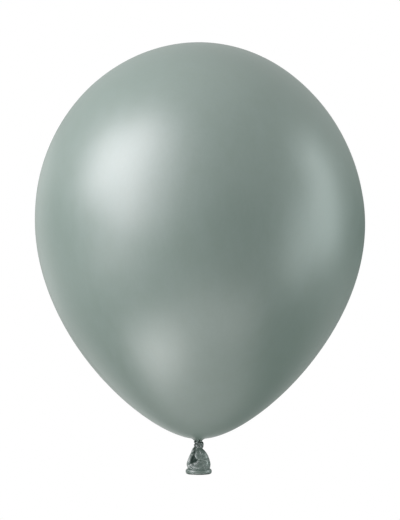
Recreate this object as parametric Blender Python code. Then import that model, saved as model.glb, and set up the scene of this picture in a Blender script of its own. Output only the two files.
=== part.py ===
"""A party balloon: one dip-moulded latex balloon, blown up and closed by an overhand knot tied in its own neck.

Metres, +Z up, seen from the front along +Y. The origin is on the balloon's axis at its neck, between the
inflated envelope above and the knot below, where a ribbon, clip or balloon stick holds it.

The pieces, from the top:
    envelope  the inflated shell, down to the pleated funnel where it is gathered into the neck
    neck      the standing part of the neck, which fills the funnel and runs down through the knot
    knot      the working part of the neck: one strand that wraps round the neck and tucks into itself
    tail      the soft free end below the knot, a hollow bell with folds, which flops about the knot
    lip       the rolled bead round the tail's mouth
"""

import math

import bmesh
import bpy
from mathutils import Vector

MM = 0.001
GAP = 0.3 * MM  # running gap between pieces that touch in the real balloon

# The envelope. The outline is two curves in (radius, height) that meet at the equator.
EQUATOR_RADIUS = 150.0 * MM
EQUATOR_HEIGHT = 198.8 * MM
CROWN_HEIGHT = 362.4 * MM
CROWN_HANDLE = 80.5 * MM  # how flat the crown is
SHOULDER_HANDLE = 90.4 * MM  # how full the shoulder above the equator is
BELLY_HANDLE = 102.1 * MM  # how full the belly below the equator is
THROAT_RADIUS = 6.8 * MM  # where the outline turns into the pleated funnel
THROAT_HEIGHT = 2.1 * MM
THROAT_HANDLE = 45.5 * MM  # how flat the underside is
THROAT_SLOPE = math.radians(6.7)
FUNNEL_RADIUS = 3.0 * MM
FUNNEL_HEIGHT = 0.3 * MM
NECK_HOLE_RADIUS = 1.85 * MM
CROWN_LEAN = -1.8 * MM  # the crown stands this far to the left of the neck
ENVELOPE_WALL = 0.4 * MM
ENVELOPE_SEGMENTS = 56
CROWN_ROWS = 15
BELLY_ROWS = 18
PLEATS = 8
PLEAT_SHARE = 0.07  # depth of a pleat, as a share of the funnel's radius

# The neck and the knot. The knot's centre line is 1.2 mm left of the balloon's axis.
KNOT_X = -1.2 * MM
CORE_OFFSET = 0.68 * MM  # the two strands in the knot's core lie this far behind and before its axis
CORE_RADIUS = 0.5 * MM
NECK_TOP = 1.2 * MM
NECK_RADIUS = NECK_HOLE_RADIUS - GAP
NECK_FOOT = -4.7 * MM
STRAND_SIDES = 12
TURN_STEP = 15.0  # degrees between two rings of the knot's strand

# The knot's strand as it spirals down and round: angle from +X (270 is the front), its distance from the
# knot's axis, its height and its own radius, all but the angle in millimetres.
KNOT_TURNS = (
    # degrees, ring radius, height, strand radius
    (-40, 1.00, -1.60, 0.50),
    (5, 1.60, -1.45, 0.53),
    (90, 2.50, -1.30, 0.85),
    (180, 3.10, -1.65, 1.20),
    (270, 3.20, -2.30, 1.25),
    (360, 3.10, -3.30, 1.50),
    (450, 3.15, -4.00, 1.30),
    (540, 3.20, -4.65, 1.35),
    (630, 3.15, -5.25, 1.22),
    (720, 2.00, -6.00, 0.85),
    (800, 0.85, -6.10, 0.50),
)

# The tail, from the knot down: height, centre, half width and half depth of the outer skin in millimetres.
TAIL_SECTIONS = (
    # height, centre x, half width, half depth
    (-7.35, -2.0, 1.5, 0.40),
    (-7.75, -2.1, 3.8, 0.80),
    (-8.40, -2.1, 5.0, 1.55),
    (-10.2, -1.7, 6.5, 3.1),
    (-13.7, -1.2, 8.4, 5.0),
    (-17.3, -1.0, 9.9, 6.6),
    (-21.0, -1.0, 10.9, 7.9),
    (-23.4, -1.0, 10.95, 8.5),
    (-24.6, -1.0, 10.5, 8.2),
)
TAIL_ROWS = 17
TAIL_COLUMNS = 48
TAIL_WALL = 1.3 * MM
TAIL_CAVITY_TOP = -14.0 * MM

# The folds in the tail's skin: where the fold starts and ends, its half width and its height above the skin,
# negative for a valley, and the side that it lies on, all in millimetres.
TAIL_FOLDS = (
    # x start, z start, x end, z end, half width, height, side (-1 front, 1 back)
    (-4.4, -8.4, -7.4, -17.5, 1.7, -1.5, -1),
    (-3.0, -9.0, -3.6, -15.5, 1.2, 1.1, -1),
    (0.2, -10.0, 1.6, -16.0, 2.6, 1.2, -1),
    (-6.8, -20.6, 5.6, -19.4, 1.5, -0.9, -1),
    (-8.6, -21.6, -2.0, -23.4, 1.0, 0.7, -1),
    (0.4, -23.2, 7.6, -20.6, 1.0, 0.7, -1),
    (-3.2, -9.0, -4.8, -18.0, 1.5, -1.2, 1),
    (1.6, -9.0, 3.4, -18.5, 1.6, -1.1, 1),
    (-6.4, -21.0, 5.0, -21.4, 1.5, -0.7, 1),
)

# The lip, a rolled bead on an oval, whose front hangs a little lower than its sides.
LIP_X = -1.0 * MM
LIP_HEIGHT = -27.7 * MM
LIP_HALF_WIDTH = 9.3 * MM
LIP_HALF_DEPTH = 7.0 * MM
LIP_RADIUS = 2.65 * MM
LIP_DROOP = 0.9 * MM
LIP_STEPS = 40

# The tail's flop: it bends at the foot of the knot, forwards and backwards about a line along X.
FLOP_PIVOT = Vector((-2.0 * MM, 0.0, -8.0 * MM))

# Finishes: colour, roughness and metallic value.
STRETCHED_LATEX = ((0.235, 0.292, 0.268), 0.36, 0.55)
THICK_LATEX = ((0.150, 0.196, 0.176), 0.28, 0.45)


def clear_scene():
    """Removes whatever the file opened with."""
    for obj in list(bpy.data.objects):
        bpy.data.objects.remove(obj)


def finish_material(name, look):
    """A plain latex material with the part's colour, roughness and metallic value."""
    colour, roughness, metallic = look
    material = bpy.data.materials.new(name)
    material.use_nodes = True
    shader = material.node_tree.nodes["Principled BSDF"]
    shader.inputs["Base Color"].default_value = (*colour, 1.0)
    shader.inputs["Roughness"].default_value = roughness
    shader.inputs["Metallic"].default_value = metallic
    material.diffuse_color = (*colour, 1.0)
    return material


def place(name, data, material):
    """Links a new object with this name and material, and returns it."""
    obj = bpy.data.objects.new(name, data)
    obj.data.materials.append(material)
    bpy.context.scene.collection.objects.link(obj)
    return obj


def mesh_object(name, shape, material, sharp_angle=math.radians(50)):
    """Makes an object of a bmesh, with its faces turned outwards and its round sides shaded smooth."""
    bmesh.ops.recalc_face_normals(shape, faces=shape.faces)
    mesh = bpy.data.meshes.new(name)
    shape.to_mesh(mesh)
    shape.free()
    mesh.shade_smooth()
    mesh.set_sharp_from_angle(angle=sharp_angle)
    return place(name, mesh, material)


def cubic(points, share):
    """The point at this share of a cubic curve's way, from its two ends and two handles."""
    start, first, second, end = points
    rest = 1.0 - share
    return start * rest**3 + first * (3 * rest * rest * share) + second * (3 * rest * share * share) + end * share**3


def smooth_step(value, low, high):
    """0 below low, 1 above high, and a smooth rise between them."""
    share = min(1.0, max(0.0, (value - low) / (high - low)))
    return share * share * (3.0 - 2.0 * share)


def smooth_row(table, share):
    """The table's row at this share of its length, on a smooth curve through all its rows."""
    reach = share * (len(table) - 1)
    index = min(int(reach), len(table) - 2)
    step = reach - index
    before, start, end, after = (
        table[max(0, min(len(table) - 1, index + k))] for k in (-1, 0, 1, 2)
    )
    return [
        0.5 * (2 * b + (c - a) * step + (2 * a - 5 * b + 4 * c - d) * step**2 + (3 * b - a - 3 * c + d) * step**3)
        for a, b, c, d in zip(before, start, end, after)
    ]


def envelope_outline():
    """The envelope's outline from the crown to the hole at the neck, as (radius, height) points."""
    crown = [
        Vector((0.0, CROWN_HEIGHT)),
        Vector((CROWN_HANDLE, CROWN_HEIGHT)),
        Vector((EQUATOR_RADIUS, EQUATOR_HEIGHT + SHOULDER_HANDLE)),
        Vector((EQUATOR_RADIUS, EQUATOR_HEIGHT)),
    ]
    throat = Vector((THROAT_RADIUS, THROAT_HEIGHT))
    along = Vector((math.cos(THROAT_SLOPE), math.sin(THROAT_SLOPE)))
    belly = [
        Vector((EQUATOR_RADIUS, EQUATOR_HEIGHT)),
        Vector((EQUATOR_RADIUS, EQUATOR_HEIGHT - BELLY_HANDLE)),
        throat + along * THROAT_HANDLE,
        throat,
    ]
    funnel_foot = Vector((FUNNEL_RADIUS, FUNNEL_HEIGHT))
    funnel_waist = Vector(((THROAT_RADIUS + FUNNEL_RADIUS) * 0.45, (THROAT_HEIGHT + FUNNEL_HEIGHT) * 0.55))
    hole_edge = Vector((NECK_HOLE_RADIUS, FUNNEL_HEIGHT))
    return [
        *(cubic(crown, row / CROWN_ROWS) for row in range(CROWN_ROWS)),
        *(cubic(belly, row / BELLY_ROWS) for row in range(BELLY_ROWS + 1)),
        funnel_waist,
        funnel_foot,
        hole_edge,
    ]


def lean(height):
    """How far the envelope's centre stands from the axis at this height."""
    return CROWN_LEAN * smooth_step(height, EQUATOR_HEIGHT * 0.9, CROWN_HEIGHT * 0.9)


def build_envelope(material):
    """Spins the outline, presses pleats into the funnel and gives the skin its wall, inwards."""
    shape = bmesh.new()
    profile = [shape.verts.new((point.x, 0.0, point.y)) for point in envelope_outline()]
    edges = [shape.edges.new(pair) for pair in zip(profile, profile[1:])]
    bmesh.ops.spin(
        shape,
        geom=profile + edges,
        axis=(0.0, 0.0, 1.0),
        cent=(0.0, 0.0, 0.0),
        angle=math.tau,
        steps=ENVELOPE_SEGMENTS,
        use_merge=True,
    )
    bmesh.ops.remove_doubles(shape, verts=shape.verts, dist=0.01 * MM)
    for vert in shape.verts:
        radius = math.hypot(vert.co.x, vert.co.y)
        angle = math.atan2(vert.co.y, vert.co.x)
        gathered = smooth_step(radius, NECK_HOLE_RADIUS, FUNNEL_RADIUS) * (
            1.0 - smooth_step(radius, THROAT_RADIUS, THROAT_RADIUS * 2.0)
        )
        shrink = 1.0 - PLEAT_SHARE * gathered * (0.5 + 0.5 * math.cos(PLEATS * angle))
        vert.co.x = vert.co.x * shrink + lean(vert.co.z)
        vert.co.y *= shrink
    envelope = mesh_object("envelope", shape, material)
    wall = envelope.modifiers.new("wall", "SOLIDIFY")
    wall.thickness = ENVELOPE_WALL
    wall.offset = -1.0
    wall.use_rim = True
    return envelope


def strand(name, route, material):
    """A round strand of latex along a route of (point, radius), closed at both ends."""
    curve = bpy.data.curves.new(name, "CURVE")
    curve.dimensions = "3D"
    curve.bevel_depth = 1.0 * MM
    curve.bevel_resolution = STRAND_SIDES // 4 - 1
    curve.use_fill_caps = True
    curve.use_radius = True
    spline = curve.splines.new("POLY")
    spline.points.add(len(route) - 1)
    for point, (centre, radius) in zip(spline.points, route):
        point.co = (*centre, 1.0)
        point.radius = radius / MM
    spline.use_smooth = True
    return place(name, curve, material)


def neck_route():
    """The standing part of the neck: a plug in the funnel, then a thin strand down the knot's core."""
    rows = (
        # x, y, height, radius
        (0.0, 0.0, NECK_TOP, NECK_RADIUS),
        (0.0, 0.0, NECK_TOP * 0.6, NECK_RADIUS),
        (KNOT_X * 0.15, CORE_OFFSET * 0.15, FUNNEL_HEIGHT * 0.5, NECK_RADIUS * 0.9),
        (KNOT_X * 0.75, CORE_OFFSET * 0.8, -0.6 * MM, CORE_RADIUS * 1.3),
        (KNOT_X, CORE_OFFSET, -1.6 * MM, CORE_RADIUS),
        (KNOT_X, CORE_OFFSET, -3.1 * MM, CORE_RADIUS),
        (KNOT_X, CORE_OFFSET, NECK_FOOT, CORE_RADIUS),
    )
    steps = 18
    found = [smooth_row(rows, step / steps) for step in range(steps + 1)]
    return [(Vector(row[:3]), row[3]) for row in found]


def knot_route():
    """The knot's strand: up the core from the tail, over the top, down round the neck, and in again below."""
    turns = [
        (angle, ring * MM, height * MM, radius * MM) for angle, ring, height, radius in KNOT_TURNS
    ]
    span = turns[-1][0] - turns[0][0]
    steps = int(span / TURN_STEP)
    coil = []
    for step in range(steps + 1):
        angle, ring, height, radius = smooth_row(turns, step / steps)
        turn = math.radians(angle)
        centre = Vector((KNOT_X + ring * math.cos(turn), ring * math.sin(turn), height))
        coil.append((centre, radius))
    core_rows = (
        # x, y, height, radius
        (KNOT_X, -CORE_OFFSET, -6.3 * MM, CORE_RADIUS),
        (KNOT_X, -CORE_OFFSET, -4.9 * MM, CORE_RADIUS),
        (KNOT_X, -CORE_OFFSET, -3.6 * MM, CORE_RADIUS),
        (KNOT_X * 0.95, -CORE_OFFSET, -2.45 * MM, CORE_RADIUS),
        (KNOT_X * 0.7, -CORE_OFFSET, -1.85 * MM, CORE_RADIUS),
        (*coil[0][0], coil[0][1]),
        (*coil[1][0], coil[1][1]),
    )
    core_steps = 20
    core = [smooth_row(core_rows, step / core_steps) for step in range(core_steps - 3)]
    return [(Vector(row[:3]), row[3]) for row in core] + coil[1:]


def lip_droop(angle):
    """How far the lip hangs below its sides at this angle, most at the front."""
    return LIP_DROOP * max(0.0, -math.sin(angle)) ** 2


def fold_height(x, z, side):
    """The height of all the folds together at a place on the tail's skin, in millimetres."""
    total = 0.0
    for x_start, z_start, x_end, z_end, half_width, height, fold_side in TAIL_FOLDS:
        start = Vector((x_start, z_start))
        along = Vector((x_end, z_end)) - start
        place_on = Vector((x, z)) - start
        share = min(1.0, max(0.0, place_on.dot(along) / along.length_squared))
        distance = (place_on - along * share).length
        facing = min(1.0, max(0.0, side * fold_side))
        total += height * facing * math.exp(-((distance / half_width) ** 2))
    return total


def tail_ring(shape, share, inset):
    """One ring of the tail's skin with its folds, this far down it and this far inside its outer skin."""
    height, centre, half_width, half_depth = smooth_row(TAIL_SECTIONS, share)
    ring = []
    for column in range(TAIL_COLUMNS):
        angle = math.tau * column / TAIL_COLUMNS
        across, deep = math.cos(angle), math.sin(angle)
        x = centre + (half_width - inset) * across
        y = (half_depth - inset + fold_height(x, height, deep)) * deep
        z = height * MM - lip_droop(angle) * smooth_step(share, 0.5, 1.0)
        ring.append(shape.verts.new((x * MM, y * MM, z)))
    return ring


def bridge(shape, upper, lower):
    """Joins two rings with a band of faces."""
    for column, vert in enumerate(upper):
        beside = (column + 1) % len(upper)
        shape.faces.new((vert, upper[beside], lower[beside], lower[column]))


def cap(shape, ring):
    """Closes a ring with a fan of faces round its middle."""
    middle = sum((vert.co for vert in ring), Vector()) / len(ring)
    tip = shape.verts.new(middle)
    for column, vert in enumerate(ring):
        shape.faces.new((vert, ring[(column + 1) % len(ring)], tip))


def build_tail(material):
    """The bell below the knot: down its outer skin from the top, then back up inside its wall."""
    shape = bmesh.new()
    shares = [row / TAIL_ROWS for row in range(TAIL_ROWS + 1)]
    rings = [tail_ring(shape, share, 0.0) for share in shares]
    for share in reversed(shares):
        if smooth_row(TAIL_SECTIONS, share)[0] * MM < TAIL_CAVITY_TOP:
            rings.append(tail_ring(shape, share, TAIL_WALL / MM))
    for upper, lower in zip(rings, rings[1:]):
        bridge(shape, upper, lower)
    cap(shape, rings[0])
    cap(shape, rings[-1])
    return mesh_object("tail", shape, material)


def build_lip(material):
    """The rolled bead round the mouth, a round strand on a closed oval."""
    curve = bpy.data.curves.new("lip", "CURVE")
    curve.dimensions = "3D"
    curve.bevel_depth = LIP_RADIUS
    curve.bevel_resolution = 4
    spline = curve.splines.new("POLY")
    spline.points.add(LIP_STEPS - 1)
    spline.use_cyclic_u = True
    for step, point in enumerate(spline.points):
        angle = math.tau * step / LIP_STEPS
        point.co = (
            LIP_X + LIP_HALF_WIDTH * math.cos(angle),
            LIP_HALF_DEPTH * math.sin(angle),
            LIP_HEIGHT - lip_droop(angle),
            1.0,
        )
    spline.use_smooth = True
    return place("lip", curve, material)


def hang_on_pivot(pieces):
    """Parents the pieces that move with the tail to an empty on the line that they bend about."""
    pivot = bpy.data.objects.new("tail_pivot", None)
    pivot.location = FLOP_PIVOT
    pivot.empty_display_size = 5.0 * MM
    bpy.context.scene.collection.objects.link(pivot)
    bpy.context.view_layer.update()
    for piece in pieces:
        piece.parent = pivot
        piece.matrix_parent_inverse = pivot.matrix_world.inverted()


def main():
    """Builds the balloon from its crown to its lip."""
    clear_scene()
    stretched = finish_material("stretched_latex", STRETCHED_LATEX)
    thick = finish_material("thick_latex", THICK_LATEX)
    build_envelope(stretched)
    strand("neck", neck_route(), thick)
    strand("knot", knot_route(), thick)
    tail = build_tail(thick)
    lip = build_lip(thick)
    hang_on_pivot([tail, lip])


main()
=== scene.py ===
"""The looks of the party balloon: its latex skin, knot, tail and rim, in a soft white studio.

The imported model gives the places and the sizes. Each class below is one part of the balloon: it holds its own
sizes, builds its own mesh around its CAD solid and dresses it. Lengths in the tables are millimetres.
"""

import logging
import math
from collections.abc import Sequence
from dataclasses import dataclass, field, replace
from enum import Enum

import bmesh
import bpy
import numpy as np
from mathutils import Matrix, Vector, noise


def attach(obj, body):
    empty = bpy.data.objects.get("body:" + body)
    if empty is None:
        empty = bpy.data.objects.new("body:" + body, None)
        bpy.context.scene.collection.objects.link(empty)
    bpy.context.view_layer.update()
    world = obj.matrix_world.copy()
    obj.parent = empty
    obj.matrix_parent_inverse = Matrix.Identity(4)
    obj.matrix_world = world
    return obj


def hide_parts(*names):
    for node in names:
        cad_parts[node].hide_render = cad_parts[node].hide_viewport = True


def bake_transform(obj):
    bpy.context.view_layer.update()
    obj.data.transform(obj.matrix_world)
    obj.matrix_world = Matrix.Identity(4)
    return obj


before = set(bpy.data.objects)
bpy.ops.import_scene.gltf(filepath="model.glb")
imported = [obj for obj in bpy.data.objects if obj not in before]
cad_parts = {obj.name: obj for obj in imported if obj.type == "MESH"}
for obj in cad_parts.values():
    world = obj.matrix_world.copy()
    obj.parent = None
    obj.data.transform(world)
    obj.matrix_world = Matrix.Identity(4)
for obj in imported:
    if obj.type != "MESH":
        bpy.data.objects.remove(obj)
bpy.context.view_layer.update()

LOG = logging.getLogger("balloon")
MM = 0.001
# the vertex attribute that holds the painted shade, from 0 to 1: how much darker and duller a place is painted
PAINTED_SHADE = "painted_shade"
# a length below this counts as none
TINY = 1e-6
# how often a table is halved to find a row in it
HALVINGS = 24

Row = tuple[float, ...]
Table = tuple[Row, ...]
Values = float | np.ndarray


class Body(Enum):
    """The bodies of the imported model."""

    BALLOON = "balloon"
    TAIL = "tail_end"


class Side(Enum):
    """The side of the tail that a fold lies on, as the sign of Y."""

    FRONT = -1.0
    BACK = 1.0


# numbers and curves


def blend_step(value: float, low: float, high: float) -> float:
    """Rises smoothly from 0 at low to 1 at high."""
    share = min(1.0, max(0.0, (value - low) / (high - low)))
    return share * share * (3.0 - 2.0 * share)


def cubic(points: Sequence[Vector], share: float) -> Vector:
    """A point on a cubic curve.

    Args:
        points: the curve's start, first handle, second handle and end.
        share: how far along the curve, from 0 to 1.

    Returns:
        The point there.
    """
    start, first, second, end = points
    rest = 1.0 - share
    return (
        start * rest**3
        + first * (3 * rest * rest * share)
        + second * (3 * rest * share * share)
        + end * share**3
    )


def between(before: Values, start: Values, end: Values, after: Values, step: float) -> Values:
    """A value on a smooth curve that runs through four values.

    Args:
        before: the value before the start.
        start: the value where step is 0.
        end: the value where step is 1.
        after: the value after the end.
        step: how far from the start to the end.

    Returns:
        The value there.
    """
    return 0.5 * (
        2 * start
        + (end - before) * step
        + (2 * before - 5 * start + 4 * end - after) * step**2
        + (3 * start - before - 3 * end + after) * step**3
    )


def smooth_row(table: Sequence[Row], share: float) -> list[float]:
    """A row of a table at any share of its length, on a smooth curve through all its rows.

    Args:
        table: rows of numbers, all of one length.
        share: how far down the table, from 0 to 1.

    Returns:
        The numbers of that row.
    """
    reach = share * (len(table) - 1)
    index = min(int(reach), len(table) - 2)
    step = reach - index
    rows = (table[max(0, min(len(table) - 1, index + k))] for k in (-1, 0, 1, 2))
    return [between(*values, step) for values in zip(*rows)]


def row_at(table: Sequence[Row], value: float) -> list[float]:
    """The row of a table whose first column is this value.

    Args:
        table: rows whose first column rises or falls all the way.
        value: the value to find in the first column.

    Returns:
        The row there, by halving the table until it is found.
    """
    low, high = 0.0, 1.0
    rising = table[-1][0] > table[0][0]
    for _ in range(HALVINGS):
        middle = 0.5 * (low + high)
        if (smooth_row(table, middle)[0] < value) == rising:
            low = middle
        else:
            high = middle
    return smooth_row(table, low)


# meshes


def object_of(name: str, shape: bmesh.types.BMesh) -> bpy.types.Object:
    """Makes a smooth shaded object of a bmesh and links it.

    Args:
        name: the piece's name.
        shape: its mesh, which is freed.

    Returns:
        The new object.
    """
    bmesh.ops.recalc_face_normals(shape, faces=shape.faces)
    mesh = bpy.data.meshes.new(name)
    shape.to_mesh(mesh)
    shape.free()
    mesh.shade_smooth()
    piece = bpy.data.objects.new(name, mesh)
    bpy.context.scene.collection.objects.link(piece)
    return piece


def apply_modifiers(piece: bpy.types.Object) -> None:
    """Turns a piece's modifiers into its mesh.

    Args:
        piece: the piece, which keeps its name and loses its modifiers.
    """
    graph = bpy.context.evaluated_depsgraph_get()
    mesh = bpy.data.meshes.new_from_object(piece.evaluated_get(graph))
    piece.modifiers.clear()
    old, piece.data = piece.data, mesh
    bpy.data.meshes.remove(old)
    mesh.name = piece.name
    mesh.shade_smooth()


def skin_rings(
    shape: bmesh.types.BMesh, rings: Sequence[Sequence[Vector]], close: tuple[bool, bool]
) -> list[list[bmesh.types.BMVert]]:
    """Joins rings of points into one skin.

    Args:
        shape: the mesh that takes the skin.
        rings: rings of the same number of points, in order.
        close: whether the first and the last ring are closed with a fan of faces.

    Returns:
        The vertices of each ring.
    """
    made = [[shape.verts.new(point) for point in ring] for ring in rings]
    for upper, lower in zip(made, made[1:]):
        for column, vert in enumerate(upper):
            beside = (column + 1) % len(upper)
            shape.faces.new((vert, upper[beside], lower[beside], lower[column]))
    for ring, closed in zip((made[0], made[-1]), close):
        if closed:
            tip = shape.verts.new(sum((vert.co for vert in ring), Vector()) / len(ring))
            for column, vert in enumerate(ring):
                shape.faces.new((vert, ring[(column + 1) % len(ring)], tip))
    return made


def swept_rings(
    route: Sequence[tuple[Vector, float, float]],
    columns: int,
    up: Vector,
    flutes: int = 0,
    flute_height: float = 0.0,
    flute_turn: float = 0.0,
) -> list[list[Vector]]:
    """Rings of an oval strand along a route.

    Args:
        route: points with the strand's half thickness and half height there, in metres.
        columns: points in a ring.
        up: the way the half height is measured.
        flutes: how many ridges run along the strand.
        flute_height: how far they stand out, as a share of its thickness.
        flute_turn: how far they turn round the strand from ring to ring, in radians.

    Returns:
        One ring for each point of the route, square to it.
    """
    rings = []
    for index, (centre, half_thick, half_high) in enumerate(route):
        along = (route[min(index + 1, len(route) - 1)][0] - route[max(index - 1, 0)][0]).normalized()
        out = along.cross(up)
        out = out.normalized() if out.length > TINY else Vector((1.0, 0.0, 0.0))
        high = out.cross(along).normalized()
        ring = []
        for column in range(columns):
            angle = math.tau * column / columns
            swell = 1.0 + flute_height * math.cos(flutes * angle + flute_turn * index)
            around = out * (half_thick * math.cos(angle)) + high * (half_high * math.sin(angle))
            ring.append(centre + around * swell)
        rings.append(ring)
    return rings


# finishes


def linear(colour: str) -> tuple[float, float, float, float]:
    """Turns an sRGB colour into the linear values that a shader takes.

    Args:
        colour: the colour in hex, such as #85958F.

    Returns:
        Its linear red, green and blue, and a full alpha.
    """
    parts = [int(colour[start : start + 2], 16) / 255 for start in (1, 3, 5)]
    red, green, blue = (c / 12.92 if c <= 0.04045 else ((c + 0.055) / 1.055) ** 2.4 for c in parts)
    return (red, green, blue, 1.0)


def add_node(
    tree: bpy.types.NodeTree,
    kind: str,
    settings: dict[str, object] | None = None,
    values: dict[str | int, object] | None = None,
    links: dict[str | int, bpy.types.NodeSocket] | None = None,
) -> bpy.types.Node:
    """Adds a node to a tree.

    Args:
        tree: the tree that takes the node.
        kind: the node's type name in Blender.
        settings: the node's own settings.
        values: fixed values of its input sockets.
        links: output sockets that feed its input sockets.

    Returns:
        The new node.
    """
    node = tree.nodes.new(kind)
    for name, value in (settings or {}).items():
        setattr(node, name, value)
    for name, value in (values or {}).items():
        node.inputs[name].default_value = value
    for name, socket in (links or {}).items():
        tree.links.new(socket, node.inputs[name])
    return node


@dataclass(frozen=True)
class PearlLatex:
    """Dip-moulded natural rubber latex with a pearl pigment: mica flakes coated with titanium dioxide.

    The flakes lie in the skin like tiny mirrors. They give the eye a broad pale sheen over the body colour,
    and faint clouds where they crowd or thin out. Latex alone has an index of 1.52. The flakes, at about 2.3,
    raise it to the sheen index, and the satin of the dipped skin sets how far the sheen spreads.

    Args:
        name: the material's name.
        colour: the body colour.
        crowded_colour: the body colour where the flakes crowd.
        roughness: how far the sheen spreads.
        sheen_index: the index that sets how strong the sheen is.
        painted_shade_colour: the painted shade colour deep in a fold, or None for skin that has none.
        painted_shade_gloss: the specular level there, a painted shade that dulls the sheen.
        cloud_mm: the size of the clouds of flakes.
        speckle_mm: the size of the fine speckle. A flake is under 0.1 mm and too fine to show, so the
            speckle is drawn as coarse as it needs to show.
        speckle_share: how much of the pattern is speckle.
        cloud_range: the part of the pattern's range that runs from thin to crowded.
        drawn_out: how the pattern shrinks along Z, which draws it out.
        roughness_swing: how far the roughness swings with the clouds.
        ripple_mm: the height of the skin's soft ripples.
        ripple_scale_mm: the size of the ripples.
    """

    name: str
    colour: str
    crowded_colour: str
    roughness: float
    sheen_index: float
    painted_shade_colour: str | None = None
    painted_shade_gloss: float = 0.05
    cloud_mm: float = 9.0
    speckle_mm: float = 2.2
    speckle_share: float = 0.35
    cloud_range: Row = (0.35, 0.65)
    drawn_out: float = 0.55
    roughness_swing: float = 0.05
    ripple_mm: float = 0.02
    ripple_scale_mm: float = 14.0

    def material(self) -> bpy.types.Material:
        """Builds the finish as a node material.

        Returns:
            The material.
        """
        material = bpy.data.materials.new(self.name)
        material.use_nodes = True
        tree = material.node_tree
        shader = tree.nodes["Principled BSDF"]
        place = add_node(tree, "ShaderNodeTexCoord")
        # the skin stretches up the balloon as it fills, so the clouds of flakes are drawn out along Z
        drawn = add_node(
            tree,
            "ShaderNodeMapping",
            values={"Scale": (1.0, 1.0, self.drawn_out)},
            links={"Vector": place.outputs["Object"]},
        )
        clouds, speckle, ripple = (
            add_node(
                tree,
                "ShaderNodeTexNoise",
                values={"Scale": 1.0 / (size * MM), "Detail": detail, "Roughness": roughness},
                links={"Vector": drawn.outputs["Vector"]},
            )
            for size, detail, roughness in (
                (self.cloud_mm, 3.0, 0.55),
                (self.speckle_mm, 2.0, 0.5),
                (self.ripple_scale_mm, 2.0, 0.5),
            )
        )
        both = add_node(
            tree,
            "ShaderNodeMix",
            {"data_type": "FLOAT"},
            {"Factor": self.speckle_share},
            {"A": clouds.outputs["Fac"], "B": speckle.outputs["Fac"]},
        )
        thin, crowded = self.cloud_range
        crowd = add_node(
            tree,
            "ShaderNodeMapRange",
            values={"From Min": thin, "From Max": crowded},
            links={"Value": both.outputs["Result"]},
        )
        tint = add_node(
            tree,
            "ShaderNodeMix",
            {"data_type": "RGBA"},
            {"A": linear(self.colour), "B": linear(self.crowded_colour)},
            {"Factor": crowd.outputs["Result"]},
        )
        smoothest, roughest = self.roughness - self.roughness_swing, self.roughness + self.roughness_swing
        satin = add_node(
            tree,
            "ShaderNodeMapRange",
            values={"To Min": smoothest, "To Max": roughest},
            links={"Value": clouds.outputs["Fac"]},
        )
        bump = add_node(
            tree,
            "ShaderNodeBump",
            values={"Strength": 1.0, "Distance": self.ripple_mm * MM},
            links={"Height": ripple.outputs["Fac"]},
        )
        shader.inputs["IOR"].default_value = self.sheen_index
        tree.links.new(tint.outputs["Result"], shader.inputs["Base Color"])
        tree.links.new(satin.outputs["Result"], shader.inputs["Roughness"])
        tree.links.new(bump.outputs["Normal"], shader.inputs["Normal"])
        if self.painted_shade_colour:
            # painted shade: deep in the tail's folds and under the rim, the colour is darkened and the sheen
            # dulled where shade falls
            painted_shade = add_node(tree, "ShaderNodeAttribute", {"attribute_name": PAINTED_SHADE})
            deep = add_node(
                tree,
                "ShaderNodeMix",
                {"data_type": "RGBA"},
                {"B": linear(self.painted_shade_colour)},
                {"Factor": painted_shade.outputs["Fac"], "A": tint.outputs["Result"]},
            )
            tree.links.new(deep.outputs["Result"], shader.inputs["Base Color"])
            gloss = shader.inputs["Specular IOR Level"]
            dull = add_node(
                tree,
                "ShaderNodeMapRange",
                values={"To Min": gloss.default_value, "To Max": self.painted_shade_gloss},
                links={"Value": painted_shade.outputs["Fac"]},
            )
            tree.links.new(dull.outputs["Result"], gloss)
        return material


# the balloon


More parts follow.
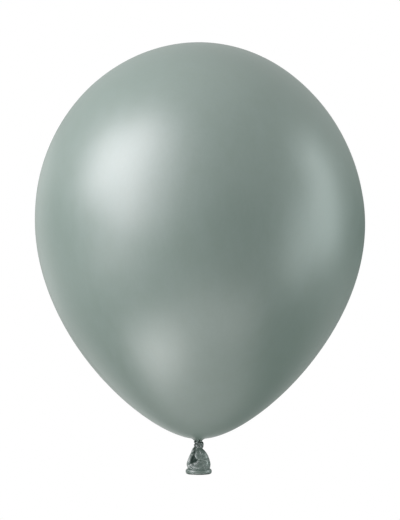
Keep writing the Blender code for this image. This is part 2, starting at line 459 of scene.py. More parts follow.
@dataclass
class Envelope:
    """The inflated skin: a teardrop that leans a little to the left, gathered in pleats at its neck."""

    finish: PearlLatex
    equator: Row = (150.0, 198.84)
    crown: Row = (80.52, 362.4)
    shoulder_handle: float = 90.42
    belly_handle: float = 102.13
    throat: Row = (6.8, 2.13)
    throat_handle: float = 45.54
    throat_slope: float = math.radians(6.68)
    columns: int = 240
    crown_rows: int = 70
    belly_rows: int = 78
    gather_rows: int = 12
    gather_foot: Row = (2.3, -1.9)
    gather_handle: float = 3.2
    gather_foot_handle: Row = (0.3, 2.1)
    # how far from the axis the pleats start to fade, and how high up the skin they reach
    pleat_start: float = 2.6
    pleat_top: float = 6.0
    # how wide a pleat is at the neck, and how much wider it gets, as shares of its half width
    pleat_spread: Row = (0.75, 0.5)
    # how far the skin's centre stands from the axis, up the balloon
    lean: Table = (
        # height, x
        (-2.0, -1.2),
        (0.0, -1.35),
        (6.0, -0.4),
        (26.0, -0.2),
        (85.0, 0.0),
        (143.0, 0.3),
        (200.0, 0.0),
        (231.0, -0.7),
        (267.0, -1.35),
        (300.0, -1.75),
        (326.0, -1.9),
        (362.4, -1.1),
    )
    # the pleats of the gathered neck, from +X round by the back; -90 is the front
    pleats: Table = (
        # angle in degrees, half width in degrees, height, reach out along the skin
        (-112.0, 15.0, 1.2, 9.0),
        (-144.0, 12.0, -1.1, 6.0),
        (-170.0, 13.0, 1.3, 9.0),
        (-74.0, 15.0, -1.2, 6.0),
        (-38.0, 15.0, 0.8, 6.5),
        (-8.0, 12.0, -0.7, 5.5),
        (24.0, 18.0, 0.8, 8.0),
        (58.0, 13.0, -0.8, 6.0),
        (92.0, 18.0, 0.9, 9.0),
        (128.0, 13.0, -0.8, 6.0),
        (158.0, 12.0, 0.7, 8.0),
    )

    def outline(self) -> list[Vector]:
        """Draws the skin's outline from the crown to inside the knot.

        Returns:
            Its points, each a radius and a height.
        """
        radius, height = self.equator
        crown = [
            Vector((0.0, self.crown[1])),
            Vector(self.crown),
            Vector((radius, height + self.shoulder_handle)),
            Vector((radius, height)),
        ]
        throat = Vector(self.throat)
        slope = Vector((math.cos(self.throat_slope), math.sin(self.throat_slope)))
        belly = [
            Vector((radius, height)),
            Vector((radius, height - self.belly_handle)),
            throat + slope * self.throat_handle,
            throat,
        ]
        foot = Vector(self.gather_foot)
        gather = [throat, throat - slope * self.gather_handle, foot + Vector(self.gather_foot_handle), foot]
        rows = [cubic(crown, row / self.crown_rows) for row in range(1, self.crown_rows)]
        rows += [cubic(belly, row / self.belly_rows) for row in range(self.belly_rows)]
        rows += [cubic(gather, row / self.gather_rows) for row in range(self.gather_rows + 1)]
        return rows

    def pleat_height(self, radius: float, angle: float) -> float:
        """The height of the pleats at a place on the skin.

        Args:
            radius: distance from the neck's axis.
            angle: angle round the axis in degrees.

        Returns:
            How far the skin stands out there.
        """
        total = 0.0
        narrow, widening = self.pleat_spread
        for middle, half_width, height, reach in self.pleats:
            turn = (angle - middle + 180.0) % 360.0 - 180.0
            away = blend_step(radius, self.pleat_start, reach)
            # a pleat spreads into the skin as it leaves the neck
            spread = half_width * (narrow + widening * away)
            total += height * (1.0 - away) * math.exp(-((turn / spread) ** 2))
        return total

    def build(self) -> bpy.types.Object:
        """Builds the skin as one closed shell and dresses it.

        Returns:
            The finished skin.
        """
        outline = self.outline()
        rings = []
        for index, point in enumerate(outline):
            before = outline[max(0, index - 1)]
            after = outline[min(len(outline) - 1, index + 1)]
            along = (after - before).normalized()
            out_radius, out_height = -along.y, along.x
            centre = row_at(self.lean, point.y)[1]
            ring = []
            for column in range(self.columns):
                turn = math.tau * column / self.columns
                stand = self.pleat_height(point.x, math.degrees(turn)) if point.y < self.pleat_top else 0.0
                radius = point.x + stand * out_radius
                height = point.y + stand * out_height
                place = Vector((centre + radius * math.cos(turn), radius * math.sin(turn), height))
                ring.append(place * MM)
            rings.append(ring)
        shape = bmesh.new()
        skin_rings(shape, rings, (True, True))
        envelope = object_of("envelope_skin", shape)
        envelope.data.materials.append(self.finish.material())
        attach(envelope, Body.BALLOON.value)
        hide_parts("envelope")
        return envelope


@dataclass(frozen=True)
class Strand:
    """One run of the bunched latex in the knot.

    Args:
        steps: how many rings of points it has.
        route: rows of degrees from +X (270 is the front), distance from the knot's axis, height, half
            thickness and half height.
    """

    steps: int
    route: Table


@dataclass
class Knot:
    """The overhand knot: bunched latex that wraps round the neck, loops on the right and runs out below."""

    finish: PearlLatex
    centre_x: float = -1.15
    voxel: float = 0.13
    columns: int = 32
    flutes: int = 7
    flute_height: float = 0.015
    flute_turn: float = 0.06
    core_steps: int = 24
    soften_passes: int = 6
    strands: tuple[Strand, ...] = (
        # the wrap, a band round the top whose front slopes down to the right
        Strand(70, (
            (60, 1.6, -2.0, 1.1, 0.9),
            (110, 2.5, -1.8, 1.3, 1.0),
            (160, 3.0, -1.4, 1.4, 0.95),
            (200, 3.2, -1.35, 1.35, 0.95),
            (240, 3.1, -1.6, 1.3, 0.95),
            (275, 3.0, -2.1, 1.35, 1.15),
            (310, 2.8, -2.8, 1.4, 1.5),
            (345, 2.2, -3.3, 1.2, 1.8),
        )),
        # the loop that stands up the right side
        Strand(60, (
            (110, 1.8, -2.2, 1.1, 1.1),
            (60, 2.9, -1.7, 1.2, 1.2),
            (20, 3.3, -2.3, 1.2, 1.2),
            (-2, 3.35, -3.9, 1.15, 1.15),
            (12, 3.1, -5.6, 1.2, 1.2),
            (60, 2.9, -6.3, 1.3, 1.2),
            (120, 2.8, -5.6, 1.5, 1.5),
        )),
        # the broad end that comes round from the left and runs down into the tail
        Strand(60, (
            (110, 2.4, -4.4, 1.5, 1.7),
            (150, 2.9, -4.2, 1.5, 1.8),
            (190, 3.0, -4.3, 1.45, 1.8),
            (225, 2.9, -4.5, 1.45, 1.9),
            (260, 2.6, -4.8, 1.7, 2.2),
            (295, 2.2, -5.4, 1.8, 2.3),
            (330, 1.6, -6.4, 1.8, 2.1),
            (350, 0.9, -8.0, 1.7, 1.7),
        )),
    )
    # the standing part of the neck inside the band
    core: Table = (
        # x, y, height, half thickness, half height
        (0.0, 0.1, 0.6, 2.1, 2.1),
        (-0.1, 0.1, -1.2, 2.3, 2.3),
        (0.1, 0.0, -2.8, 2.6, 2.6),
        (0.3, -0.2, -4.4, 2.9, 2.9),
        (0.2, -0.3, -6.0, 2.8, 2.6),
        (0.0, -0.2, -7.4, 2.2, 2.2),
        (0.0, 0.0, -8.6, 1.7, 1.7),
    )

    def route(self, strand: Strand) -> list[tuple[Vector, float, float]]:
        """Lays a strand round the knot's axis.

        Args:
            strand: the strand.

        Returns:
            Its places in metres, each with its half thickness and half height.
        """
        places = []
        for step in range(strand.steps + 1):
            angle, ring, height, half_thick, half_high = smooth_row(strand.route, step / strand.steps)
            turn = math.radians(angle)
            place = Vector((self.centre_x + ring * math.cos(turn), ring * math.sin(turn), height))
            places.append((place * MM, half_thick * MM, half_high * MM))
        return places

    def build(self) -> bpy.types.Object:
        """Fuses the strands with the bunched core, as soft rubber does, and dresses the knot.

        Returns:
            The finished knot.
        """
        shape = bmesh.new()
        flutes = (self.flutes, self.flute_height, self.flute_turn)
        for strand in self.strands:
            rings = swept_rings(self.route(strand), self.columns, Vector((0.0, 0.0, 1.0)), *flutes)
            skin_rings(shape, rings, (True, True))
        places = []
        for step in range(self.core_steps + 1):
            x, y, height, half_thick, half_high = smooth_row(self.core, step / self.core_steps)
            places.append((Vector((self.centre_x + x, y, height)) * MM, half_thick * MM, half_high * MM))
        skin_rings(shape, swept_rings(places, self.columns, Vector((0.0, 1.0, 0.0))), (True, True))
        knot = object_of("knot_strand", shape)
        fuse = knot.modifiers.new("fuse", "REMESH")
        fuse.mode = "VOXEL"
        fuse.voxel_size = self.voxel * MM
        softened = knot.modifiers.new("soften", "SMOOTH")
        softened.iterations = self.soften_passes
        apply_modifiers(knot)
        knot.data.materials.append(self.finish.material())
        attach(knot, Body.BALLOON.value)
        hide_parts("knot", "neck")
        return knot


def curve_through(table: Table, closed: bool, steps: int = 8) -> np.ndarray:
    """Draws a smooth curve through points.

    Args:
        table: points (x, z).
        closed: whether the curve comes back to its first point.
        steps: points on the curve for each point of the table.

    Returns:
        The curve's points, one in each row.
    """
    points = np.array(table, dtype=float)
    last = len(points) if closed else len(points) - 1
    made = []
    for index in range(last):
        beside = [index + k for k in (-1, 0, 1, 2)]
        beside = [k % len(points) for k in beside] if closed else [min(max(k, 0), last) for k in beside]
        for step in np.arange(steps) / steps:
            made.append(between(*points[beside], step))
    made.append(points[0] if closed else points[last])
    return np.array(made)


def nearest_on(curve: np.ndarray, x: np.ndarray, z: np.ndarray) -> tuple[np.ndarray, np.ndarray, np.ndarray]:
    """Finds how places lie along a curve.

    Args:
        curve: the curve's points.
        x: the places' first coordinate.
        z: their second.

    Returns:
        The distance to the curve, how far along it the nearest point is from 0 to 1, and on which side a
        place lies, positive on the left.
    """
    best = np.full(x.shape, np.inf)
    share = np.zeros(x.shape)
    side = np.zeros(x.shape)
    for index, (start, end) in enumerate(zip(curve, curve[1:])):
        along = end - start
        reach = ((x - start[0]) * along[0] + (z - start[1]) * along[1]) / (along @ along)
        reach = np.clip(reach, 0.0, 1.0)
        gap_x, gap_z = x - start[0] - along[0] * reach, z - start[1] - along[1] * reach
        gap = np.hypot(gap_x, gap_z)
        nearer = gap < best
        best = np.where(nearer, gap, best)
        share = np.where(nearer, (index + reach) / (len(curve) - 1), share)
        side = np.where(nearer, along[0] * gap_z - along[1] * gap_x, side)
    return best, share, side


def inside(curve: np.ndarray, x: np.ndarray, z: np.ndarray) -> np.ndarray:
    """Finds which places lie inside a closed curve, by counting how often a line from each crosses it.

    Args:
        curve: the curve's points, the last of them the first again.
        x: the places' first coordinate.
        z: their second.

    Returns:
        True for each place inside.
    """
    odd = np.zeros(x.shape, dtype=bool)
    for (x0, z0), (x1, z1) in zip(curve, curve[1:]):
        crosses = (z0 > z) != (z1 > z)
        if z0 != z1:
            odd ^= crosses & (x < x0 + (z - z0) * (x1 - x0) / (z1 - z0))
    return odd


def soften(heights: np.ndarray, passes: int) -> np.ndarray:
    """Evens out a grid of heights.

    Args:
        heights: one row of the grid for each ring of the tail.
        passes: how many times each height is mixed with its neighbours.

    Returns:
        The softened grid.
    """
    for _ in range(passes):
        heights = 0.5 * heights + 0.25 * (np.roll(heights, 1, axis=1) + np.roll(heights, -1, axis=1))
        padded = np.pad(heights, ((1, 1), (0, 0)), mode="edge")
        heights = 0.5 * heights + 0.25 * (padded[:-2] + padded[2:])
    return heights


# a crease tapers as a stretch of half a sine wave: where the stretch starts, how long it is, and the power
# that makes it fuller
CREASE_START = 0.08
CREASE_SPAN = 0.86
CREASE_FULLNESS = 0.7


@dataclass(frozen=True)
class Crease:
    """A ridge or a groove in the tail's skin, drawn as it is seen from its own side.

    Args:
        side: the side of the tail that it lies on.
        height: how far it stands out, or in where it is negative.
        left: how far it spreads to the left of its path's direction.
        right: how far it spreads to the right.
        path: points (x, z) that it follows.
    """

    side: Side
    height: float
    left: float
    right: float
    path: Table

    def rise(self, x: np.ndarray, z: np.ndarray) -> np.ndarray:
        """The crease's height at places on its side of the tail, tapered towards both ends.

        Args:
            x: the places across the tail.
            z: their heights.

        Returns:
            How far the crease stands out there.
        """
        gap, share, side = nearest_on(curve_through(self.path, closed=False), x, z)
        taper = np.sin(math.pi * (CREASE_START + CREASE_SPAN * share)) ** CREASE_FULLNESS
        return self.height * taper * np.exp(-((gap / np.where(side > 0, self.left, self.right)) ** 2))


@dataclass(frozen=True)
class Lobe:
    """A stretch of skin within an outline, which stands out or falls in behind a rounded edge.

    Args:
        side: the side of the tail that it lies on.
        foot: its height at the outline and beyond it.
        top: its height in the middle.
        edge: how wide its rounded edge is.
        outline: points (x, z) round it.
    """

    side: Side
    foot: float
    top: float
    edge: float
    outline: Table

    def rise(self, x: np.ndarray, z: np.ndarray) -> np.ndarray:
        """The lobe's height at places on its side of the tail.

        Args:
            x: the places across the tail.
            z: their heights.

        Returns:
            How far the lobe stands out there.
        """
        curve = curve_through(self.outline, closed=True)
        depth = np.where(inside(curve, x, z), nearest_on(curve, x, z)[0], 0.0)
        roundness = np.sin(0.5 * math.pi * np.clip(depth / self.edge, 0.0, 1.0))
        return self.foot + (self.top - self.foot) * roundness


@dataclass
class Tail:
    """The flared and folded free end of the neck, a hollow bell that bends at the foot of the knot."""

    finish: PearlLatex
    wall: float = 0.5
    columns: int = 260
    rows: int = 118
    # where the tail would bend, and how far above and below it the bend would run out; not used
    pivot_x: float = -2.0
    pivot_height: float = -8.0
    pivot_reach: float = 1.6
    # how round the line is where one fold lies over another
    overlap_round: float = 0.3
    # how often the hollows alone, all the folds and the finished skin are evened out
    hollow_passes: int = 20
    fold_passes: int = 3
    skin_passes: int = 3
    # the folds grow and fade over these shares of the tail's length, and from the sides to the front or back
    growth: Row = (0.04, 0.14)
    fading: Row = (0.92, 1.0)
    facing: Row = (0.0, 0.5)
    # how deep in a fold the painted shade starts, and how deep it is full
    painted_shade_depths: Row = (1.2, 3.0)
    # the skin from inside the knot down to the rim
    sections: Table = (
        # height, centre x, half width, half depth
        (-4.6, -1.6, 1.6, 1.5),
        (-5.6, -2.2, 3.0, 2.2),
        (-6.7, -2.3, 4.0, 2.9),
        (-7.9, -2.2, 4.9, 3.7),
        (-9.4, -1.8, 5.9, 4.6),
        (-11.4, -1.35, 7.0, 5.7),
        (-14.6, -1.25, 8.7, 7.3),
        (-18.0, -1.2, 10.05, 8.6),
        (-21.0, -1.3, 10.85, 9.2),
        (-22.6, -1.25, 10.8, 9.2),
        (-24.4, -1.1, 10.4, 8.9),
        (-26.0, -1.15, 9.9, 8.4),
    )
    # where the skin falls in
    hollows: tuple[Lobe, ...] = (
        # the front, which falls in below the flap and in under the lobe
        Lobe(Side.FRONT, foot=0.0, top=-1.5, edge=3.6, outline=(
            (-3.4, -6.8), (-5.6, -9.4), (-8.6, -12.2), (-11.4, -15.4), (-12.6, -18.4), (-11.8, -21.4),
            (-9.8, -24.0), (-6.4, -25.8), (-1.0, -26.2), (4.0, -24.8), (6.0, -19.5), (5.0, -14.5),
            (1.0, -8.5),
        )),
        # the deep place beside the lobe
        Lobe(Side.FRONT, foot=0.0, top=-3.0, edge=3.0, outline=(
            (-3.2, -7.2), (-5.4, -9.4), (-8.4, -11.8), (-11.8, -14.8), (-13.2, -18.0), (-11.0, -20.4),
            (-6.5, -19.4), (-2.5, -18.0), (-1.6, -13.5), (-2.0, -9.6),
        )),
        # the middle of the back
        Lobe(Side.BACK, foot=0.0, top=-2.4, edge=2.4, outline=(
            (0.4, -9.0), (-2.4, -12.6), (-4.6, -17.6), (-4.0, -22.6), (0.6, -23.6), (3.6, -20.4),
            (3.4, -14.6), (2.0, -10.6),
        )),
    )
    # where the skin lies over what is beside it
    overlaps: tuple[Lobe, ...] = (
        # the flap on the left
        Lobe(Side.FRONT, foot=-6.5, top=0.8, edge=1.2, outline=(
            (-4.0, -5.0), (-4.2, -7.8), (-4.5, -9.5), (-5.1, -10.5), (-6.5, -11.8), (-8.5, -13.4),
            (-10.2, -15.4), (-11.4, -17.8), (-14.0, -17.8), (-12.0, -10.0), (-8.0, -5.0),
        )),
        # the lobe that hangs from the knot in the middle and runs out on the right
        Lobe(Side.FRONT, foot=-5.5, top=0.8, edge=2.4, outline=(
            (-3.8, -5.0), (-4.4, -7.6), (-5.3, -9.3), (-6.1, -10.6), (-6.6, -12.3), (-6.2, -14.4),
            (-4.8, -16.7), (-1.4, -18.3), (2.2, -18.6), (4.8, -18.0), (8.0, -16.5), (12.5, -14.0),
            (9.0, -6.0), (4.0, -4.0),
        )),
        # the two flaps of the back
        Lobe(Side.BACK, foot=-4.0, top=0.8, edge=1.8, outline=(
            (-1.0, -6.0), (-0.4, -10.4), (-2.0, -14.6), (-4.6, -18.0), (-8.6, -19.6), (-11.0, -14.0),
            (-7.0, -7.0),
        )),
        Lobe(Side.BACK, foot=-4.0, top=0.9, edge=1.6, outline=(
            (0.6, -6.0), (1.4, -11.0), (1.2, -15.6), (2.8, -19.4), (6.6, -21.6), (10.0, -18.0),
            (7.0, -10.0), (3.0, -6.0),
        )),
    )
    creases: tuple[Crease | Lobe, ...] = (
        # the bright ridges of the lower skirt, and the streak at the lobe's lower right
        Crease(Side.FRONT, height=0.8, left=0.7, right=0.9, path=(
            (-12.2, -20.0), (-11.2, -22.4), (-9.6, -24.0), (-7.6, -25.0), (-5.4, -25.6),
        )),
        Crease(Side.FRONT, height=0.45, left=1.6, right=1.4, path=(
            (-0.4, -24.4), (3.0, -23.1), (5.4, -21.2), (6.8, -18.8),
        )),
        Crease(Side.FRONT, height=0.8, left=0.9, right=0.9, path=(
            (1.6, -19.3), (3.4, -18.5), (4.6, -17.2), (5.2, -15.6),
        )),
        # the valley above the skirt's left ridge
        Crease(Side.FRONT, height=-0.8, left=3.0, right=1.3, path=(
            (-11.4, -20.0), (-10.2, -21.8), (-8.6, -23.1), (-6.8, -23.9),
        )),
        # small pleats where the tail leaves the knot
        Crease(Side.FRONT, height=0.6, left=0.5, right=0.5, path=(
            (-0.2, -6.0), (-0.2, -7.8), (0.4, -9.8), (1.6, -12.4),
        )),
        Crease(Side.FRONT, height=-0.4, left=0.5, right=0.5, path=(
            (-1.6, -6.4), (-1.7, -8.2), (-1.4, -10.0),
        )),
        Crease(Side.FRONT, height=0.4, left=0.5, right=0.5, path=((-5.0, -6.0), (-5.6, -8.0), (-6.8, -10.6))),
        # the rolled edge of the flap
        Crease(Side.FRONT, height=0.5, left=0.7, right=0.6, path=(
            (-4.8, -8.0), (-5.6, -10.0), (-7.2, -11.3), (-9.1, -12.9), (-10.7, -14.8),
        )),
        # the lobe's round front, with a shallow dent in its middle
        Lobe(Side.FRONT, foot=0.0, top=0.9, edge=4.2, outline=(
            (-3.8, -6.0), (-5.6, -10.6), (-5.8, -14.0), (-4.2, -16.9), (-1.2, -18.0), (2.4, -18.2),
            (6.6, -17.4), (9.4, -13.6), (4.6, -7.0),
        )),
        Crease(Side.FRONT, height=-0.5, left=1.8, right=1.8, path=(
            (-1.0, -10.5), (-0.8, -13.4), (0.4, -16.0),
        )),
        # the skirt of the back, and a groove in each of its flaps
        Crease(Side.BACK, height=0.7, left=1.0, right=1.0, path=(
            (-8.6, -22.4), (-4.0, -24.6), (1.4, -24.8), (6.4, -23.4),
        )),
        Crease(Side.BACK, height=-0.5, left=0.6, right=0.6, path=(
            (-2.2, -7.0), (-3.6, -10.4), (-5.4, -13.6),
        )),
        Crease(Side.BACK, height=-0.5, left=0.6, right=0.6, path=((3.0, -8.0), (4.4, -11.4), (5.2, -15.0))),
    )

    def stand(self, side: Side, x: np.ndarray, z: np.ndarray) -> np.ndarray:
        """How far the skin stands out from the plain bell at places on one side of it.

        Args:
            side: the side of the tail.
            x: the places across the tail.
            z: their heights.

        Returns:
            The rise there, or the fall where it is negative.
        """
        total = soften(sum(form.rise(x, z) for form in self.hollows if form.side is side), self.hollow_passes)
        for form in self.overlaps:
            if form.side is side:
                over = form.rise(x, z)
                # the higher of the two, rounded where they meet
                gap = np.hypot(total - over, self.overlap_round)
                total = 0.5 * (total + over + gap - self.overlap_round)
        total = total + sum(form.rise(x, z) for form in self.creases if form.side is side)
        return soften(total, self.fold_passes)

    def build(self) -> bpy.types.Object:
        """Builds the folded bell with its wall, and dresses it.

        Returns:
            The finished tail.
        """
        shares = np.arange(self.rows + 1) / self.rows
        sections = np.array([smooth_row(self.sections, share) for share in shares])
        height, centre, half_width, half_depth = (sections[:, [column]] for column in range(4))
        turn = math.tau * np.arange(self.columns) / self.columns
        across, deep = np.cos(turn)[None, :], np.sin(turn)[None, :]
        x, y = centre + half_width * across, half_depth * deep
        z = np.broadcast_to(height, x.shape)
        stand = np.zeros(x.shape)
        for side in Side:
            facing = np.array([blend_step(value * side.value, *self.facing) for value in deep[0]])
            stand += facing[None, :] * self.stand(side, x, z)
        # inside the knot and at the rim there are no folds
        grown = np.array([blend_step(share, *self.growth) for share in shares])
        faded = np.array([blend_step(share, *self.fading) for share in shares])
        stand *= (grown * (1.0 - faded))[:, None]
        out_x, out_y = across / half_width, deep / half_depth
        length = np.hypot(out_x, out_y)
        x, y = x + stand * out_x / length, y + stand * out_y / length
        shape = bmesh.new()
        rings = [[Vector(point) * MM for point in zip(*row)] for row in zip(x, y, z)]
        # painted shade: the deeper a place lies in a fold, the darker and duller it is painted
        painted_shade = shape.verts.layers.float.new(PAINTED_SHADE)
        for verts, depths in zip(skin_rings(shape, rings, (True, False)), -stand):
            for vert, depth in zip(verts, depths):
                vert[painted_shade] = blend_step(depth, *self.painted_shade_depths)
        tail = object_of("tail_bell", shape)
        smooth = tail.modifiers.new("smooth", "SMOOTH")
        smooth.iterations = self.skin_passes
        wall = tail.modifiers.new("wall", "SOLIDIFY")
        wall.thickness = self.wall * MM
        wall.offset = -1.0
        wall.use_rim = True
        apply_modifiers(tail)
        tail.data.materials.append(self.finish.material())
        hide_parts("tail")
        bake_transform(tail)
        return tail


@dataclass
class Lip:
    """The rolled rim of the mouth, a soft bead on an oval."""

    finish: PearlLatex
    centre_x: float = -1.15
    height: float = -28.0
    half_width: float = 9.55
    half_depth: float = 7.8
    radius: float = 2.4
    # how square the bead's section is, 1 being round
    squareness: float = 0.8
    # how far down the bead the painted shade starts, and where it is full, 1 being its lowest line
    painted_shade_heights: Row = (0.1, 0.9)
    # how far the bead swells and shrinks, as a share of its radius, and how often round the rim
    unevenness: float = 0.06
    uneven_scale: float = 1.5
    steps: int = 160
    columns: int = 56

    def squared(self, value: float) -> float:
        """A cosine or sine moved out towards the corners of the bead's section."""
        return math.copysign(abs(value) ** self.squareness, value)

    def build(self) -> bpy.types.Object:
        """Builds the bead as a closed ring and dresses it.

        Returns:
            The finished rim.
        """
        shape = bmesh.new()
        painted_shade = shape.verts.layers.float.new(PAINTED_SHADE)
        up = Vector((0.0, 0.0, 1.0))
        rings = []
        for step in range(self.steps):
            turn = math.tau * step / self.steps
            across, deep = math.cos(turn), math.sin(turn)
            centre = Vector((self.centre_x + self.half_width * across, self.half_depth * deep, self.height))
            out = Vector((across / self.half_width, deep / self.half_depth, 0.0)).normalized()
            ring = []
            for column in range(self.columns):
                angle = math.tau * column / self.columns
                spot = Vector((across * self.uneven_scale, deep * self.uneven_scale, math.sin(angle)))
                radius = self.radius * (1.0 + self.unevenness * noise.noise(spot))
                around = out * self.squared(math.cos(angle)) + up * self.squared(math.sin(angle))
                vert = shape.verts.new((centre + around * radius) * MM)
                # painted shade: the underside of the bead is painted darker and duller
                vert[painted_shade] = blend_step(-math.sin(angle), *self.painted_shade_heights)
                ring.append(vert)
            rings.append(ring)
        for ring, beside in zip(rings, rings[1:] + rings[:1]):
            for column, vert in enumerate(ring):
                above = (column + 1) % len(ring)
                shape.faces.new((vert, ring[above], beside[above], beside[column]))
        lip = object_of("rolled_rim", shape)
        lip.data.materials.append(self.finish.material())
        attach(lip, Body.TAIL.value)
        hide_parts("lip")
        return lip


# the studio


@dataclass(frozen=True)
class Softbox:
    """A soft light that faces the middle of the balloon.

    Args:
        name: what a photographer would call it.
        azimuth: degrees round from the camera, to the right where positive.
        elevation: degrees above the balloon's middle.
        width: its width in metres.
        height: its height in metres.
        radiance: how bright its face is.
        colour: the colour of its light.
        distance: how far it stands from the balloon's middle.
    """

    name: str
    azimuth: float
    elevation: float
    width: float
    height: float
    radiance: float
    colour: str = "#FFFFFF"
    distance: float = 1.5


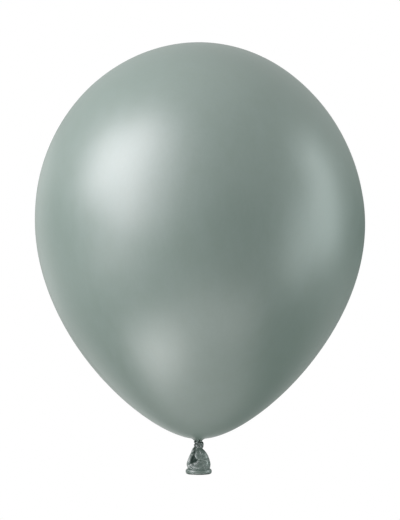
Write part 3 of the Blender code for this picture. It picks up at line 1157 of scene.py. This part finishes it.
@dataclass
class Studio:
    """A white room with soft boxes, a pale floor and the camera of the photograph."""

    middle: Vector = field(default_factory=lambda: Vector((0.0, 0.0, 0.185)))
    camera_distance: float = 1.6
    camera_height: float = 0.1647
    lens: float = 121.43
    floor_height: float = -1.6
    floor_size: float = 1.9
    floor_colour: str = "#EDEDEB"
    floor_roughness: float = 0.8
    backdrop_colour: str = "#FFFFFF"
    room_light: float = 1.12
    # how bright the room is by height, from straight down at -1 to straight up at 1
    room_shade: Table = (
        # height of the direction, brightness
        (-0.66, 0.0),
        (-0.33, 0.7),
        (0.0, 0.0),
        (0.33, 0.7),
        (0.66, 0.8),
    )
    lights: tuple[Softbox, ...] = (
        # name, azimuth, elevation, width, height, radiance, colour
        Softbox("key_box", -50.0, 26.0, 0.6, 1.75, 8.8, "#FDFAFF"),
        Softbox("key_side", -72.0, 26.0, 0.6, 1.0, 8.7, "#FDFAFF"),
        Softbox("key_feather", -28.0, 26.0, 0.6, 1.75, 2.5, "#FDFAFF"),
        Softbox("key_low_feather", -60.0, -16.0, 0.9, 0.4, 3.0, "#FDFAFF"),
        Softbox("right_strip", 92.0, 11.0, 0.58, 1.35, 5.1, "#F3FFFE"),
        Softbox("right_feather", 70.0, -8.0, 0.58, 1.05, 3.8, "#F3FFFE"),
        Softbox("low_left_reflector", -55.0, -60.0, 0.6, 0.36, 6.8, distance=1.05),
        Softbox("low_front_reflector", 16.0, -49.0, 0.95, 0.4, 2.7, distance=1.05),
        Softbox("back_panel", 222.0, 0.0, 0.9, 0.9, 1.0),
        Softbox("back_feather", 180.0, 0.0, 1.4, 0.9, 0.18),
        Softbox("low_back_panel", 200.0, -35.0, 1.4, 0.6, 0.72),
        Softbox("top_panel", 0.0, 85.0, 1.2, 1.2, 0.44),
    )

    def camera(self) -> None:
        """Sets the camera at the photograph's place, level and straight in front."""
        data = bpy.data.cameras.new("camera")
        data.lens = self.lens
        data.clip_start = 0.05
        camera = bpy.data.objects.new("camera", data)
        camera.location = (0.0, -self.camera_distance, self.camera_height)
        camera.rotation_euler = (math.radians(90.0), 0.0, 0.0)
        bpy.context.scene.collection.objects.link(camera)
        bpy.context.scene.camera = camera

    def softbox(self, box: Softbox) -> None:
        """Hangs one soft box, its face towards the balloon.

        Args:
            box: the soft box.
        """
        data = bpy.data.lights.new(box.name, "AREA")
        data.shape = "RECTANGLE"
        data.size = box.width
        data.size_y = box.height
        # a face of radiance L and area A sends out pi * L * A watts in all
        data.energy = math.pi * box.radiance * box.width * box.height
        data.color = linear(box.colour)[:3]
        lamp = bpy.data.objects.new(box.name, data)
        azimuth, elevation = math.radians(box.azimuth), math.radians(box.elevation)
        level = math.cos(elevation)
        towards = Vector((math.sin(azimuth) * level, -math.cos(azimuth) * level, math.sin(elevation)))
        lamp.location = self.middle + towards * box.distance
        lamp.rotation_euler = towards.to_track_quat("Z", "Y").to_euler()
        lamp.visible_camera = False
        bpy.context.scene.collection.objects.link(lamp)

    def room(self) -> None:
        """Lights the room evenly, and shows it white to the camera."""
        world = bpy.data.worlds.new("white_room")
        world.use_nodes = True
        tree = world.node_tree
        tree.nodes.clear()
        place = add_node(tree, "ShaderNodeTexCoord")
        parts = add_node(tree, "ShaderNodeSeparateXYZ", links={0: place.outputs["Generated"]})
        share = add_node(
            tree,
            "ShaderNodeMapRange",
            values={"From Min": -1.0},
            links={"Value": parts.outputs["Z"]},
        )
        shade = add_node(tree, "ShaderNodeValToRGB", links={"Fac": share.outputs["Result"]})
        stops = shade.color_ramp.elements
        while len(stops) < len(self.room_shade):
            stops.new(0.5)
        for stop, (height, bright) in zip(stops, self.room_shade):
            stop.position = 0.5 + 0.5 * height
            stop.color = (bright, bright, bright, 1.0)
        lit = add_node(
            tree,
            "ShaderNodeBackground",
            values={"Strength": self.room_light},
            links={"Color": shade.outputs["Color"]},
        )
        seen = add_node(tree, "ShaderNodeBackground", values={"Color": linear(self.backdrop_colour)})
        path = add_node(tree, "ShaderNodeLightPath")
        either = add_node(
            tree,
            "ShaderNodeMixShader",
            links={
                0: path.outputs["Is Camera Ray"],
                1: lit.outputs["Background"],
                2: seen.outputs["Background"],
            },
        )
        add_node(tree, "ShaderNodeOutputWorld", links={"Surface": either.outputs["Shader"]})
        bpy.context.scene.world = world

    def floor(self) -> None:
        """Lays the pale floor, well below the floating balloon."""
        half = self.floor_size / 2
        corners = [(-half, -half), (half, -half), (half, half), (-half, half)]
        shape = bmesh.new()
        shape.faces.new([shape.verts.new((x, y, self.floor_height)) for x, y in corners])
        floor = object_of("studio_floor", shape)
        # painted board, which scatters light evenly and shows no gloss
        material = bpy.data.materials.new("matt_white_board")
        material.use_nodes = True
        shader = material.node_tree.nodes["Principled BSDF"]
        shader.inputs["Base Color"].default_value = linear(self.floor_colour)
        shader.inputs["Roughness"].default_value = self.floor_roughness
        floor.data.materials.append(material)

    def build(self) -> None:
        """Sets up the camera, the room, the floor and the lights."""
        bpy.context.scene.view_settings.view_transform = "Standard"
        self.camera()
        self.room()
        self.floor()
        for box in self.lights:
            self.softbox(box)


def report(piece: bpy.types.Object) -> None:
    """Logs a finished piece with its size in millimetres."""
    size = " x ".join(f"{length / MM:.1f}" for length in piece.dimensions)
    LOG.info("%s: %s mm, %d faces", piece.name, size, len(piece.data.polygons))


def main() -> None:
    """Builds the studio and the balloon, from its crown to its rim."""
    logging.basicConfig(level=logging.INFO, format="%(name)s: %(message)s")
    # the blown up skin: thin and pale, with broad soft clouds and a satin sheen
    stretched = PearlLatex(
        name="stretched_pearl_latex",
        colour="#54615A",
        crowded_colour="#57645E",
        roughness=0.42,
        sheen_index=1.66,
    )
    # the skin as it was dipped: thick and dark, its flakes close together, so a finer pattern and more sheen
    thick = PearlLatex(
        name="thick_pearl_latex",
        colour="#3C4943",
        crowded_colour="#414E48",
        roughness=0.4,
        sheen_index=1.76,
        # the painted shade colour of the tail's deep folds and the rim's underside
        painted_shade_colour="#1E2925",
        cloud_mm=3.0,
        speckle_mm=1.0,
        ripple_scale_mm=5.0,
        ripple_mm=0.01,
    )
    # the same skin bunched in the knot, many layers deep; its colour, darker than the tail's, is a painted
    # shade
    gathered = replace(
        thick,
        name="knot_painted_shade_latex",
        colour="#2F3B36",
        crowded_colour="#34403B",
        roughness=0.42,
        sheen_index=1.7,
        painted_shade_colour=None,
    )
    Studio().build()
    for part in (Envelope(stretched), Knot(gathered), Tail(thick), Lip(thick)):
        report(part.build())


if __name__ == "__main__":
    main()
